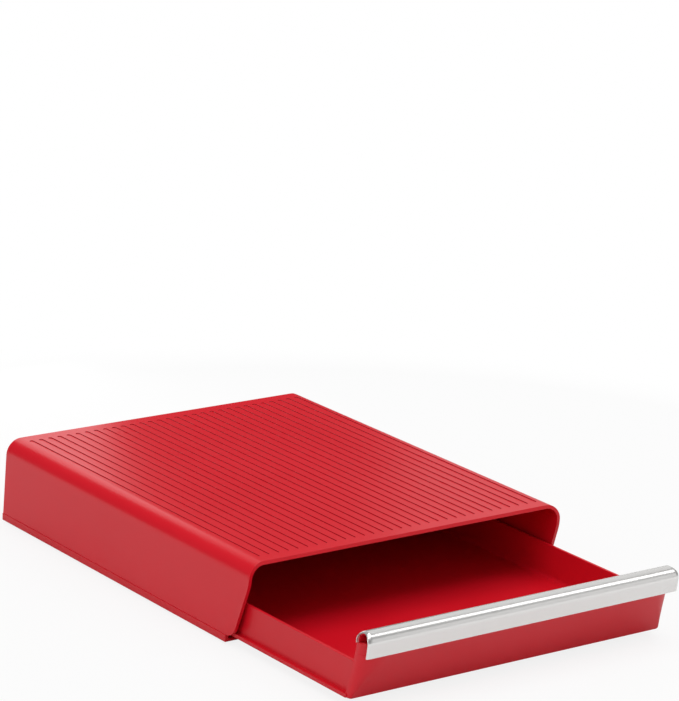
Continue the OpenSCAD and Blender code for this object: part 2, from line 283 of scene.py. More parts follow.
def draw_out(mesh: BMesh, faces: list[BMFace], move: Vector) -> list[BMVert]:
    """Extrude faces, without leaving them behind.

    Args:
        mesh: The mesh that holds the faces.
        faces: The faces.
        move: How far they are moved.

    Returns:
        The moved vertices.
    """
    grown = bmesh.ops.extrude_face_region(mesh, geom=faces)["geom"]
    bmesh.ops.delete(mesh, geom=faces, context="FACES")
    verts = [item for item in grown if isinstance(item, BMVert)]
    bmesh.ops.translate(mesh, vec=move, verts=verts)
    return verts


def lies_at(face: BMFace, z: float) -> bool:
    """Does a face lie level at a height?"""
    return all(abs(vert.co.z - z) < SAME_PLACE for vert in face.verts)


def refill(mesh: BMesh, z: float, outlines: list[Pen], normal: Vector) -> None:
    """Swap the level face at a height for one with holes at some outlines.

    Args:
        mesh: The mesh that holds the face.
        z: Height of the face.
        outlines: Closed outlines in its plane.
        normal: The side that is outside.
    """
    flat = [face for face in mesh.faces if lies_at(face, z)]
    near = [edge for edge in mesh.edges if set(edge.link_faces) & set(flat)]
    inner = [edge for edge in near if set(edge.link_faces) <= set(flat)]
    border = [edge for edge in near if edge not in inner]
    bmesh.ops.delete(mesh, geom=flat, context="FACES_ONLY")
    bmesh.ops.delete(mesh, geom=inner, context="EDGES")
    holes = [edge for hole in outlines for edge in hole.edges]
    bmesh.ops.triangle_fill(mesh, use_beauty=True, edges=border + holes, normal=normal)


@dataclass(frozen=True)
class Relief:
    """The profile of a sunk groove or a raised rib, with a rounded lip and foot."""

    height: float
    round_r: float
    draft: float = 0.00004
    steps: int = 3

    def profile(self) -> list[tuple[float, float]]:
        """List the steps that make the profile.

        Returns:
            The insets and the rises, from the lip in.
        """
        sign = math.copysign(1, self.height)
        turns = quarter(self.steps)
        lip = [(self.round_r * (math.sin(b) - math.sin(a)),
                sign * self.round_r * (math.cos(a) - math.cos(b)))
               for a, b in zip(turns, turns[1:])]
        foot = [(abs(rise), math.copysign(inset, sign)) for inset, rise in lip]
        return [*lip, (self.draft, self.height - 2 * sign * self.round_r), *foot]

    def carve(self, mesh: BMesh, outlines: list[Pen], normal: Vector) -> None:
        """Sink or raise the faces inside some outlines.

        Args:
            mesh: The mesh that holds the outlines.
            outlines: Closed outlines in one plane.
            normal: The side of the plane that is outside.
        """
        faces = []
        for ring in outlines:
            face = bmesh.ops.contextual_create(mesh, geom=ring.edges)["faces"][0]
            face.normal_update()
            if face.normal.dot(normal) < 0:
                face.normal_flip()
            faces.append(face)
        for inset, rise in self.profile():
            bmesh.ops.inset_region(mesh, faces=faces, thickness=inset, depth=rise,
                                   use_even_offset=True, use_boundary=True)


# ---- Finishes ----

PIT_SHARE = 0.6
WEAR_RANGE = (0.25, 0.75)
STREAK_STRETCH = 0.22
DRAWN_STRETCH = 0.0015
MOTTLE_SCALE = 45.0


class NodeKit:
    """Adds and wires shader nodes in one tree."""

    def __init__(self, tree: bpy.types.NodeTree) -> None:
        """Start with an empty tree."""
        self.tree = tree
        tree.nodes.clear()

    def add(self, kind: str, **inputs: object) -> bpy.types.Node:
        """Add a node.

        Args:
            kind: The node's type without its ShaderNode prefix.
            **inputs: Values or sockets for its inputs, by name or by an underscore and a
                number, and attributes whose names start with set_.

        Returns:
            The node.
        """
        prefix = "" if kind.startswith("Node") else "ShaderNode"
        node = self.tree.nodes.new(prefix + kind)
        for name in [name for name in inputs if name.startswith("set_")]:
            setattr(node, name.removeprefix("set_"), inputs.pop(name))
        for name, value in inputs.items():
            socket = node.inputs[int(name[1:]) if name[1:].isdigit() else name.replace("_", " ")]
            if isinstance(value, bpy.types.NodeSocket):
                self.tree.links.new(value, socket)
            else:
                socket.default_value = value
        return node

    def math(self, operation: str, *values: object) -> bpy.types.NodeSocket:
        """Give the result of a Math node on values or sockets."""
        inputs = {f"_{index}": value for index, value in enumerate(values)}
        return self.add("Math", set_operation=operation, **inputs).outputs[0]

    def ramp(self, value: bpy.types.NodeSocket, start: float, end: float, low: float = 0.0,
             high: float = 1.0, kind: str = "LINEAR") -> bpy.types.NodeSocket:
        """Give a value that is mapped from one range to another."""
        return self.add("MapRange", set_interpolation_type=kind, Value=value, From_Min=start,
                        From_Max=end, To_Min=low, To_Max=high).outputs[0]

    def blend(self, share: object, low: object, high: object) -> bpy.types.NodeSocket:
        """Give a mix of two colours."""
        return self.add("Mix", set_data_type="RGBA", _0=share, _6=low, _7=high).outputs[2]

    def place(self) -> bpy.types.NodeSocket:
        """Give the point's place on the object."""
        return self.add("TexCoord").outputs["Object"]

    def finish(self, height: object, relief: float, depth: float, **inputs: object) -> None:
        """Wire a bumped Principled BSDF to the material's output.

        Args:
            height: The bump's height.
            relief: The bump's strength.
            depth: The bump's distance.
            **inputs: Values or sockets for the shader.
        """
        bump = self.add("Bump", Strength=relief, Distance=depth, Height=height)
        shader = self.add("BsdfPrincipled", Normal=bump.outputs[0], **inputs)
        self.add("OutputMaterial", Surface=shader.outputs[0])


def new_material(name: str) -> tuple[bpy.types.Material, NodeKit]:
    """Make an empty material.

    Args:
        name: The material's name.

    Returns:
        The material and a kit for its nodes.
    """
    made = bpy.data.materials.new(name)
    made.use_nodes = True
    return made, NodeKit(made.node_tree)


def new_group(name: str, sizes: dict[str, float], outputs: Iterable[str]) -> NodeKit:
    """Make an empty shader node group that reads a place.

    Args:
        name: The group's name.
        sizes: The names of its other inputs and their defaults.
        outputs: The names of its outputs.

    Returns:
        A kit for the group's nodes.
    """
    tree = bpy.data.node_groups.new(name, "ShaderNodeTree")
    tree.interface.new_socket("Place", in_out="INPUT", socket_type="NodeSocketVector")
    for socket, default in sizes.items():
        made = tree.interface.new_socket(socket, in_out="INPUT", socket_type="NodeSocketFloat")
        made.default_value = default
    for socket in outputs:
        tree.interface.new_socket(socket, in_out="OUTPUT", socket_type="NodeSocketFloat")
    return NodeKit(tree)


@cache
def moulded_skin_group() -> bpy.types.NodeTree:
    """Surface of a moulding: a spark-eroded grain, a slow swell and faint flow streaks.

    Returns:
        A group with the outputs Height, Flow and Wear.
    """
    kit = new_group("moulded_skin", {"Grain Size": 0.0005, "Flow Size": 0.06},
                    ("Height", "Flow", "Wear"))
    given = kit.add("NodeGroupInput").outputs
    place = given["Place"]
    fine = kit.math("DIVIDE", 1.0, given["Grain Size"])
    slow = kit.math("DIVIDE", 1.0, given["Flow Size"])
    grain = kit.add("TexNoise", Vector=place, Scale=fine, Detail=3.0, Roughness=0.6)
    swell = kit.add("TexNoise", Vector=place, Scale=slow, Detail=2.0, Roughness=0.5)
    stretched = kit.add("Mapping", Vector=place, Scale=(1.0, STREAK_STRETCH, 1.0))
    streak = kit.add("TexNoise", Vector=stretched.outputs[0], Scale=slow, Detail=2.0,
                     Roughness=0.5)
    pits = kit.add("TexVoronoi", Vector=place, Scale=fine, set_feature="SMOOTH_F1",
                   Smoothness=0.7)
    height = kit.math("MULTIPLY_ADD", pits.outputs["Distance"], PIT_SHARE, grain.outputs["Fac"])
    wear = kit.ramp(streak.outputs["Fac"], *WEAR_RANGE, kind="SMOOTHSTEP")
    kit.add("NodeGroupOutput", Height=height, Flow=swell.outputs["Fac"], Wear=wear)
    return kit.tree


@cache
def satin_grain_group() -> bpy.types.NodeTree:
    """Drawn metal: fine lines that run along X and a slow mottle.

    Returns:
        A group with the outputs Lines and Mottle.
    """
    kit = new_group("satin_grain", {"Line Width": 0.0004}, ("Lines", "Mottle"))
    given = kit.add("NodeGroupInput").outputs
    fine = kit.math("DIVIDE", 1.0, given["Line Width"])
    drawn = kit.add("Mapping", Vector=given["Place"], Scale=(DRAWN_STRETCH, 1.0, 1.0))
    lines = kit.add("TexNoise", Vector=drawn.outputs[0], Scale=fine, Detail=4.0, Roughness=0.65)
    mottle = kit.add("TexNoise", Vector=given["Place"], Scale=MOTTLE_SCALE, Detail=3.0)
    kit.add("NodeGroupOutput", Lines=lines.outputs["Fac"], Mottle=mottle.outputs["Fac"])
    return kit.tree


@dataclass(frozen=True)
class GrooveWallPaintedShade:
    """Painted shade on the walls of the deck's grooves, between two heights and inside a
    rectangle.
    """

    low: float
    high: float
    half_x: float
    front: float
    back: float
    depth: float = 0.75
    soft: float = 0.00012
    # colour of the painted shade that darkens the groove walls
    colour: tuple[float, float, float] = (0.02, 0.001, 0.002)

    def mask(self, kit: NodeKit, place: bpy.types.NodeSocket) -> bpy.types.NodeSocket:
        """Build the mask of the painted shade.

        Args:
            kit: The material's node kit.
            place: The point's place on the object.

        Returns:
            A value that is highest on the walls.
        """
        axes = kit.add("SeparateXYZ", Vector=place).outputs
        across = kit.math("ABSOLUTE", axes["X"])
        mask = kit.ramp(axes["Z"], self.low, self.low + self.soft, high=self.depth)
        for value, limit, inward in ((axes["Z"], self.high, -1), (across, self.half_x, -1),
                                     (axes["Y"], self.front, 1), (axes["Y"], self.back, -1)):
            inside = kit.ramp(value, limit, limit + inward * self.soft)
            mask = kit.math("MULTIPLY", mask, inside)
        return mask


@dataclass(frozen=True)
class MouldedPlastic:
    """Satin moulded plastic, coloured right through."""

    name: str
    deep: tuple[float, float, float]
    pale: tuple[float, float, float]
    smooth: float
    rough: float
    grain: float = 0.00055
    relief: float = 0.05
    relief_depth: float = 0.0001
    specular: float = 0.36
    # painted shade for the groove walls, mixed into the base colour
    shade: GrooveWallPaintedShade | None = None

    def material(self) -> bpy.types.Material:
        """Build the material.

        Returns:
            The material.
        """
        made, kit = new_material(self.name)
        place = kit.place()
        skin = kit.add("Group", set_node_tree=moulded_skin_group(), Place=place,
                       Grain_Size=self.grain).outputs
        colour = kit.blend(skin["Flow"], (*self.deep, 1), (*self.pale, 1))
        # painted shade: the groove walls are darkened in the colour, standing in for their shadow
        if self.shade:
            colour = kit.blend(self.shade.mask(kit, place), colour, (*self.shade.colour, 1))
        kit.finish(skin["Height"], self.relief, self.relief_depth, Base_Color=colour,
                   Roughness=kit.ramp(skin["Wear"], 0.0, 1.0, self.smooth, self.rough),
                   Specular_IOR_Level=self.specular)
        return made


@dataclass(frozen=True)
class SatinMetal:
    """Satin metal with faint drawn lines."""

    name: str
    colour: tuple[float, float, float]
    shade: tuple[float, float, float]
    smooth: float
    rough: float
    line_width: float = 0.0004
    relief: float = 0.04
    relief_depth: float = 0.00005
    line_range: tuple[float, float] = (0.3, 0.7)
    metallic: float = 1.0

    def material(self) -> bpy.types.Material:
        """Build the material.

        Returns:
            The material.
        """
        made, kit = new_material(self.name)
        grain = kit.add("Group", set_node_tree=satin_grain_group(), Place=kit.place(),
                        Line_Width=self.line_width).outputs
        kit.finish(grain["Lines"], self.relief, self.relief_depth,
                   Base_Color=kit.blend(grain["Mottle"], (*self.shade, 1), (*self.colour, 1)),
                   Roughness=kit.ramp(grain["Lines"], *self.line_range, self.smooth, self.rough),
                   Metallic=self.metallic)
        return made


# ---- What several pieces share ----


@dataclass(frozen=True)
class Stops:
    """The base plate's two stops and the tray's, which meet when the drawer is fully open."""

    x: float = 0.080
    width: float = 0.024
    length: float = 0.004


@dataclass(frozen=True)
class ScrewRow:
    """The row of screws at the back."""

    count: int = 3
    head_t: float = 0.0013
    post_r: float = 0.0028
    post_inset: float = 0.0023
    post_steps: int = 24

    @property
    def head_r(self) -> float:
        """Radius of a screw's head."""
        return (box("base_screws")[1].y - box("base_screws")[0].y) / 2

    def axes(self, z: float, inset: float) -> list[Vector]:
        """List points at a height on upright axes, the outer ones an inset inside the row."""
        low, high = box("base_screws")
        return [Vector((x, (low.y + high.y) / 2, z)) for x in spread(self.count, high.x - inset)]

    def posts(self, mesh: BMesh, foot: float, top: float) -> None:
        """Add a post around each screw, from one height to another."""
        for centre in self.axes((foot + top) / 2, self.post_inset):
            bmesh.ops.create_cone(mesh, cap_ends=True, segments=self.post_steps,
                                  radius1=self.post_r, radius2=self.post_r, depth=top - foot,
                                  matrix=Matrix.Translation(centre))


@dataclass(frozen=True)
class DrawerFront:
    """Sizes of the drawer's front that the tray, the panel and the strip share."""

    slant: float = math.radians(25.5)
    cheek_lean: float = math.radians(11.5)
    cheek_proud: float = 0.001
    strip_lean: float = math.radians(8)
    strip_t: float = 0.0013
    fit: float = 0.0001
    rebate_gap: float = 0.0003
    back_leg: float = 0.009
    depth: float = 0.0145
    end_corner_r: float = 0.007
    end_overshoot: float = 0.0012

    @property
    def y(self) -> float:
        """Where the strip's back lies."""
        return box("handle_strip")[1].y

    @property
    def bead_y(self) -> float:
        """Where the bead's back lies, inside the strip."""
        return self.y - self.strip_t - self.fit

    @property
    def top(self) -> float:
        """Height of the strip's top."""
        return box("handle_strip")[1].z

    @property
    def foot(self) -> float:
        """Height of the strip's front foot."""
        return box("handle_strip")[0].z

    @property
    def bottom(self) -> float:
        """Height of the panel's foot."""
        return box("front_panel")[0].z

    @property
    def rebate(self) -> float:
        """Height up to which the cheeks' back edges run."""
        return self.top - self.back_leg - self.rebate_gap

    @property
    def arch_r(self) -> float:
        """Outer radius of the strip's arch."""
        return self.depth / 2

    @property
    def arch_z(self) -> float:
        """Height of the centre of the strip's arch."""
        return self.top - self.arch_r

    @property
    def tray_half(self) -> float:
        """Half of the tray's width over its side walls."""
        return box("front_panel")[1].x - self.cheek_proud

    def end_back(self, z: float) -> float:
        """How far the rounded ends of the strip lie back from its full length at a height."""
        rise = max(z - self.top - self.end_overshoot + self.end_corner_r, 0)
        return self.end_corner_r - math.sqrt(self.end_corner_r ** 2 - rise ** 2)

    def round_end(self, ring: Pen, share: float) -> Pen:
        """Move a section towards the middle where the strip's ends are rounded.

        Args:
            ring: The section.
            share: Share of the rounding that it takes.

        Returns:
            The section.
        """
        for vert in ring.verts:
            vert.co.x -= math.copysign(self.end_back(vert.co.z) * share, vert.co.x)
        return ring

    def leg_y(self, inset: float, z: float) -> float:
        """Front leg of the strip at a height, set back by an inset."""
        reach = self.arch_r + (self.arch_r - inset) / math.cos(self.strip_lean)
        return self.y - reach + (self.arch_z - z) * math.tan(self.strip_lean)

    def face_y(self, z: float) -> float:
        """Front face of the panel at a height."""
        leg = self.leg_y(self.strip_t + self.fit, max(z, self.foot))
        return leg + max(self.foot - z, 0) * math.tan(self.slant)

    def cheek_y(self, z: float) -> float:
        """Back edge of the cheeks at a height."""
        return self.y + (self.rebate - z) * math.tan(self.cheek_lean)


# ---- Pieces ----


@dataclass(frozen=True)
class Arris:
    """How a piece's sharp edges are rounded."""

    width: float = 0.0005
    segments: int = 3
    angle: float = math.radians(32)


@dataclass(frozen=True)
class Piece(ABC):
    """One piece: its name, the solid that it stands for, its body, slot and edges."""

    name: str
    node: str
    body: Body = Body.COVER
    slot: Slot = Slot.COVER
    arris: Arris = Arris()

    @property
    def low(self) -> Vector:
        """The low corner of its solid's box."""
        return box(self.node)[0]

    @property
    def high(self) -> Vector:
        """The high corner of its solid's box."""
        return box(self.node)[1]

    @abstractmethod
    def shape(self, mesh: BMesh) -> None:
        """Add the piece's faces to a mesh."""

    def build(self, material: bpy.types.Material) -> bpy.types.Object:
        """Make the finished piece on its body.

        Args:
            material: Its finish.

        Returns:
            The piece.
        """
        mesh = bmesh.new()
        self.shape(mesh)
        bmesh.ops.remove_doubles(mesh, verts=mesh.verts, dist=SAME_PLACE)
        bmesh.ops.recalc_face_normals(mesh, faces=mesh.faces)
        data = bpy.data.meshes.new(self.name)
        mesh.to_mesh(data)
        mesh.free()
        for face in data.polygons:
            face.use_smooth = True
        piece = bpy.data.objects.new(self.name, data)
        bpy.context.scene.collection.objects.link(piece)
        data.materials.append(material)
        rounding = piece.modifiers.new("arris", "BEVEL")
        rounding.width = self.arris.width
        rounding.segments = self.arris.segments
        rounding.limit_method = "ANGLE"
        rounding.angle_limit = self.arris.angle
        rounding.miter_outer = "MITER_ARC"
        rounding.use_clamp_overlap = True
        normals = piece.modifiers.new("normals", "WEIGHTED_NORMAL")
        normals.keep_sharp = True
        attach(piece, self.body.value)
        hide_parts(self.node)
        return piece


@dataclass(frozen=True)
class Cover(Piece):
    """Arched cover with a grooved deck, splayed sides, a leaning mouth and a closed back."""

    name: str = "ribbed_cover"
    node: str = "cover_shell"
    arris: Arris = Arris(width=0.0007)
    front: DrawerFront = DrawerFront()
    screws: ScrewRow = ScrewRow()
    wall: float = 0.0025
    edge_r: float = 0.012
    splay: float = math.radians(2.6)
    mouth_slant: float = math.radians(19.3)
    mouth_r: float = 0.011
    nose_r: float = 0.032
    nose_drop: float = 0.0096
    groove_pitch: float = 0.00783
    groove_w: float = 0.0032
    groove_depth: float = 0.0005
    groove_front_band: float = 0.009
    groove_back_band: float = 0.010
    groove_round: float = 0.00012
    rib_round: float = 0.0003
    rib_count: int = 5
    rib_t: float = 0.0016
    rib_h: float = 0.003
    ledge_t: float = 0.0015
    ledge_rise: float = 0.0035
    ledge_gap: float = 0.0006
    boss_h: float = 0.018
    foot_steps: int = 8
    nose_steps: int = 4
    edge_steps: int = 12
    groove_steps: int = 8
    rib_steps: int = 4

    @property
    def seam(self) -> float:
        """Height of the cover's foot."""
        return self.low.z

    @property
    def deck(self) -> float:
        """Height of the deck."""
        return self.high.z

    @property
    def back(self) -> float:
        """Where the back face lies."""
        return self.high.y

    @property
    def base_front(self) -> float:
        """Where the mouth's foot corners meet the base plate."""
        return box("base_plate")[0].y

    @property
    def edge_z(self) -> float:
        """Height of the centre of a long edge's round."""
        return self.deck - self.edge_r

    @property
    def edge_x(self) -> float:
        """Distance from the middle of the centre of a long edge's round."""
        lean = (self.edge_z - self.seam) * math.tan(self.splay)
        return self.high.x - lean - self.edge_r / math.cos(self.splay)

    @property
    def deck_front(self) -> float:
        """Where the deck's front edge lies."""
        return self.mouth_y(self.deck)

    def mouth_y(self, z: float) -> float:
        """Where the mouth's edge lies at a height.

        Args:
            z: Height in the frame.

        Returns:
            Its place along Y.
        """
        def straight(height: float) -> float:
            """The leaning edge between the nose and the foot corner."""
            foot = self.mouth_r * math.tan(math.pi / 4 - self.mouth_slant / 2)
            return self.base_front - foot - (height - self.seam) * math.tan(self.mouth_slant)

        nose_z = self.deck - self.nose_drop
        if z < self.seam + self.mouth_r * (1 - math.sin(self.mouth_slant)):
            drop = self.seam + self.mouth_r - z
            return self.base_front - math.sqrt(max(self.mouth_r ** 2 - drop ** 2, 0))
        if z < nose_z - self.nose_r * math.sin(self.mouth_slant):
            return straight(z)
        nose_y = straight(nose_z) + self.nose_r / math.cos(self.mouth_slant)
        return nose_y - math.sqrt(self.nose_r ** 2 - (z - nose_z) ** 2)

    def side_heights(self) -> list[float]:
        """List the heights on a side that the mouth's curve needs.

        Returns:
            The heights from above the foot up to the nose.
        """
        reach = math.pi / 2 - self.mouth_slant
        turns = [reach * step / self.foot_steps for step in range(1, self.foot_steps + 1)]
        foot = [self.seam + self.mouth_r * (1 - math.cos(turn)) for turn in turns]
        nose_low = self.deck - self.nose_drop - self.nose_r * math.sin(self.mouth_slant)
        nose_high = self.edge_z + self.edge_r * math.sin(self.splay)
        step = (nose_high - nose_low) / self.nose_steps
        return foot + [nose_low + step * i for i in range(self.nose_steps)]

    def section(self, mesh: BMesh, y: float, inset: float) -> Pen:
        """Draw the arch's section from the left foot to the right foot.

        Args:
            mesh: The mesh that is drawn in.
            y: The section's place.
            inset: How far it lies inside the outer face.

        Returns:
            The open chain.
        """
        radius = self.edge_r - inset
        foot = self.high.x - inset / math.cos(self.splay)
        side = [(foot - (z - self.seam) * math.tan(self.splay), z)
                for z in (self.seam, *self.side_heights())]
        side.append((self.edge_x + radius * math.cos(self.splay),
                     self.edge_z + radius * math.sin(self.splay)))
        turn = math.pi / 2 - self.splay
        pen = Pen(mesh, Vector((-foot, y, self.seam)))
        pen.to(*(Vector((-x, y, z)) for x, z in side[1:]))
        pen.arc(Vector((-self.edge_x, y, self.edge_z)), ALONG, turn, self.edge_steps)
        pen.to(Vector((self.edge_x, y, self.edge_z + radius)))
        pen.arc(Vector((self.edge_x, y, self.edge_z)), ALONG, turn, self.edge_steps)
        return pen.to(*(Vector((x, y, z)) for x, z in reversed(side[:-1])))

    def skin(self, mesh: BMesh, y: float, inset: float) -> list[BMEdge]:
        """Make one face of the arch, from a back section to the mouth, with its back closed.

        Args:
            mesh: The mesh that it is added to.
            y: Where its back lies.
            inset: How far it lies inside the outer face.

        Returns:
            The edges along the mouth.
        """
        chain = self.section(mesh, y, inset)
        grown = bmesh.ops.extrude_edge_only(mesh, edges=chain.edges)["geom"]
        verts = {item for item in grown if isinstance(item, BMVert)}
        for vert in verts:
            vert.co.y = self.mouth_y(vert.co.z)
        cap(mesh, chain.close().edges)
        return [item for item in grown if isinstance(item, BMEdge) and set(item.verts) <= verts]

    def arch(self, mesh: BMesh) -> None:
        """Make the closed shell of the arch and its back wall.

        Args:
            mesh: The mesh that it is added to.
        """
        mouth = self.skin(mesh, self.back, 0) + self.skin(mesh, self.back - self.wall, self.wall)
        bridge(mesh, mouth)
        bridge(mesh, [edge for edge in mesh.edges if len(edge.link_faces) == 1
                      and any(vert.co.y > self.base_front + SAME_PLACE for vert in edge.verts)])

    def grooves(self, mesh: BMesh) -> None:
        """Sink the grooves into the deck.

        Args:
            mesh: The mesh with the arch.
        """
        radius = self.groove_w / 2 + self.groove_round
        each_side = math.floor((self.edge_x - self.groove_w / 2) / self.groove_pitch)
        ends = (self.deck_front + self.groove_front_band + self.groove_w / 2,
                self.back - self.groove_back_band - self.groove_w / 2)
        slots = [stadium(mesh, i * self.groove_pitch, ends, self.deck, radius, self.groove_steps)
                 for i in range(-each_side, each_side + 1)]
        refill(mesh, self.deck, slots, UP)
        Relief(-self.groove_depth, self.groove_round).carve(mesh, slots, UP)

    def ribs(self, mesh: BMesh) -> None:
        """Raise the stiffening ribs under the deck.

        Args:
            mesh: The mesh with the arch.
        """
        under = self.deck - self.wall
        half = self.edge_x * (self.rib_count - 1) / (self.rib_count + 1)
        ends = (self.deck_front + self.groove_front_band + 2 * self.wall,
                self.back - 2 * self.wall)
        feet = [stadium(mesh, x, ends, under, self.rib_t / 2 + self.rib_round, self.rib_steps)
                for x in spread(self.rib_count, half)]
        refill(mesh, under, feet, -UP)
        Relief(self.rib_h, self.rib_round).carve(mesh, feet, -UP)

    def ledges(self, mesh: BMesh) -> None:
        """Add the ledges over the tray's flanges, let into the side walls.

        Args:
            mesh: The mesh that they are added to.
        """
        z = self.front.bottom + self.ledge_rise
        near = self.front.tray_half + self.ledge_gap
        far = box("drawer_tray")[1].x + self.wall / 2
        for side in SIDES:
            block(mesh, Vector((side * near, self.base_front + self.mouth_r, z)),
                  Vector((side * far, self.back - self.wall / 2, z + self.ledge_t)))

    def shape(self, mesh: BMesh) -> None:
        """Make the arch and dress it with grooves, ribs, ledges and screw bosses.

        Args:
            mesh: The piece's mesh.
        """
        self.arch(mesh)
        self.grooves(mesh)
        self.ribs(mesh)
        self.ledges(mesh)
        self.screws.posts(mesh, self.seam, self.seam + self.boss_h)


@dataclass(frozen=True)
class BasePlate(Piece):
    """Thin plate under the cover, with a raised edge, runners, stops, seats and screw holes."""

    name: str = "base_plate_shell"
    node: str = "base_plate"
    slot: Slot = Slot.TRAY
    arris: Arris = Arris(width=0.0004)
    front: DrawerFront = DrawerFront()
    screws: ScrewRow = ScrewRow()
    stops: Stops = Stops()
    floor_t: float = 0.002
    wall: float = 0.0025
    side_gap: float = 0.0009
    runner_h: float = 0.004
    runner_lap: float = 0.003
    runner_inset: float = 0.006
    proud: float = 0.0004
    stop_inset: float = 0.067
    seat_depth: float = 0.0008
    seat_round: float = 0.00015
    head_room: float = 0.0002
    seat_steps: int = 40
    hole_steps: int = 24
    flat_angle: float = math.radians(0.5)

    def shape(self, mesh: BMesh) -> None:
        """Raise the edge, the runners and the stops of a plate, and sink its underside.

        Args:
            mesh: The piece's mesh.
        """
        low, high, stops = self.low, self.high, self.stops
        seam = box("cover_shell")[0].z
        inner = box("drawer_tray")[1].x + self.side_gap
        inner_back = high.y - self.proud - self.wall
        floor, runner_top = low.z + self.floor_t, low.z + self.runner_h
        runner_front = low.y + self.runner_inset
        runner_x = self.front.tray_half - self.runner_lap
        stop_back = low.y + self.stop_inset
        block(mesh, low, Vector((high.x, high.y, floor)))
        for x in (inner, runner_x, stops.x + stops.width / 2, stops.x - stops.width / 2):
            for side in SIDES:
                self.score(mesh, ACROSS * side * x, ACROSS)
        for y in (inner_back, runner_front, stop_back, stop_back - stops.length):
            self.score(mesh, ALONG * y, ALONG)

        def rim(x: float, y: float) -> bool:
            """Is this place on the raised edge?"""
            return x > inner or y > inner_back

        def raised(x: float, y: float) -> bool:
            """Is this place on the raised edge, a runner or a stop?"""
            on_stop = abs(x - stops.x) < stops.width / 2 and 0 < stop_back - y < stops.length
            return rim(x, y) or (x > runner_x and y > runner_front) or on_stop

        self.lift(mesh, floor, raised, runner_top - floor)
        self.lift(mesh, runner_top, rim, seam - runner_top)
        bmesh.ops.dissolve_limit(mesh, angle_limit=self.flat_angle, verts=mesh.verts,
                                 edges=mesh.edges)
        self.undersides(mesh)
        self.screws.posts(mesh, floor - 2 * self.head_room, seam)

    @staticmethod
    def score(mesh: BMesh, point: Vector, normal: Vector) -> None:
        """Score the whole mesh along a plane."""
        bmesh.ops.bisect_plane(mesh, geom=mesh.verts[:] + mesh.edges[:] + mesh.faces[:],
                               plane_co=point, plane_no=normal, dist=SAME_PLACE)

    @staticmethod
    def lift(mesh: BMesh, z: float, chosen: Callable[[float, float], bool], rise: float) -> None:
        """Raise the cells at a height that a test picks.

        Args:
            mesh: The scored mesh.
            z: Height of the cells.
            chosen: A test of the distance from the middle and the place along Y.
            rise: How far they are raised.
        """
        centres = {face: face.calc_center_median() for face in mesh.faces if lies_at(face, z)}
        cells = [face for face, centre in centres.items() if chosen(abs(centre.x), centre.y)]
        draw_out(mesh, cells, UP * rise)

    def undersides(self, mesh: BMesh) -> None:
        """Sink the seats of the feet and the holes of the screw heads into the underside.

        Args:
            mesh: The piece's mesh.
        """
        z = self.low.z
        seats = []
        for low, high in map(box, FOOT_NODES):
            centre = Vector(((low.x + high.x) / 2, (low.y + high.y) / 2, z))
            radius = (high.x - low.x) / 2 + self.head_room
            seats.append(disc(mesh, centre, radius, self.seat_steps))
        holes = [disc(mesh, axis, self.screws.head_r + 2 * self.head_room, self.hole_steps)
                 for axis in self.screws.axes(z, self.screws.head_r)]
        refill(mesh, z, seats + holes, -UP)
        Relief(-self.seat_depth, self.seat_round).carve(mesh, seats, -UP)
        Relief(-self.screws.head_t, self.seat_round).carve(mesh, holes, -UP)


@dataclass(frozen=True)
class Foot(Piece):
    """Stuck-on rubber disc with a dished tread."""

    slot: Slot = Slot.FEET
    arris: Arris = Arris(width=0.00012, segments=2)
    dish_share: float = 0.62
    dish: float = 0.0003
    round_r: float = 0.0005
    round_steps: int = 4
    steps: int = 48

    def shape(self, mesh: BMesh) -> None:
        """Turn the foot's profile around its axis.

        Args:
            mesh: The piece's mesh.
        """
        radius = (self.high.x - self.low.x) / 2
        axis = (self.low + self.high) / 2
        axis.z = self.low.z
        rim, top = axis + ACROSS * radius, UP * (self.high.z - self.low.z)
        dished = ACROSS * (radius * self.dish_share)
        pen = Pen(mesh, axis + UP * self.dish)
        pen.to(axis + dished + UP * self.dish, axis + dished + ACROSS * self.dish,
               rim - ACROSS * self.round_r)
        pen.bend(rim, rim + UP * self.round_r, self.round_steps)
        turned(mesh, pen.to(rim + top, axis + top), axis, self.steps)


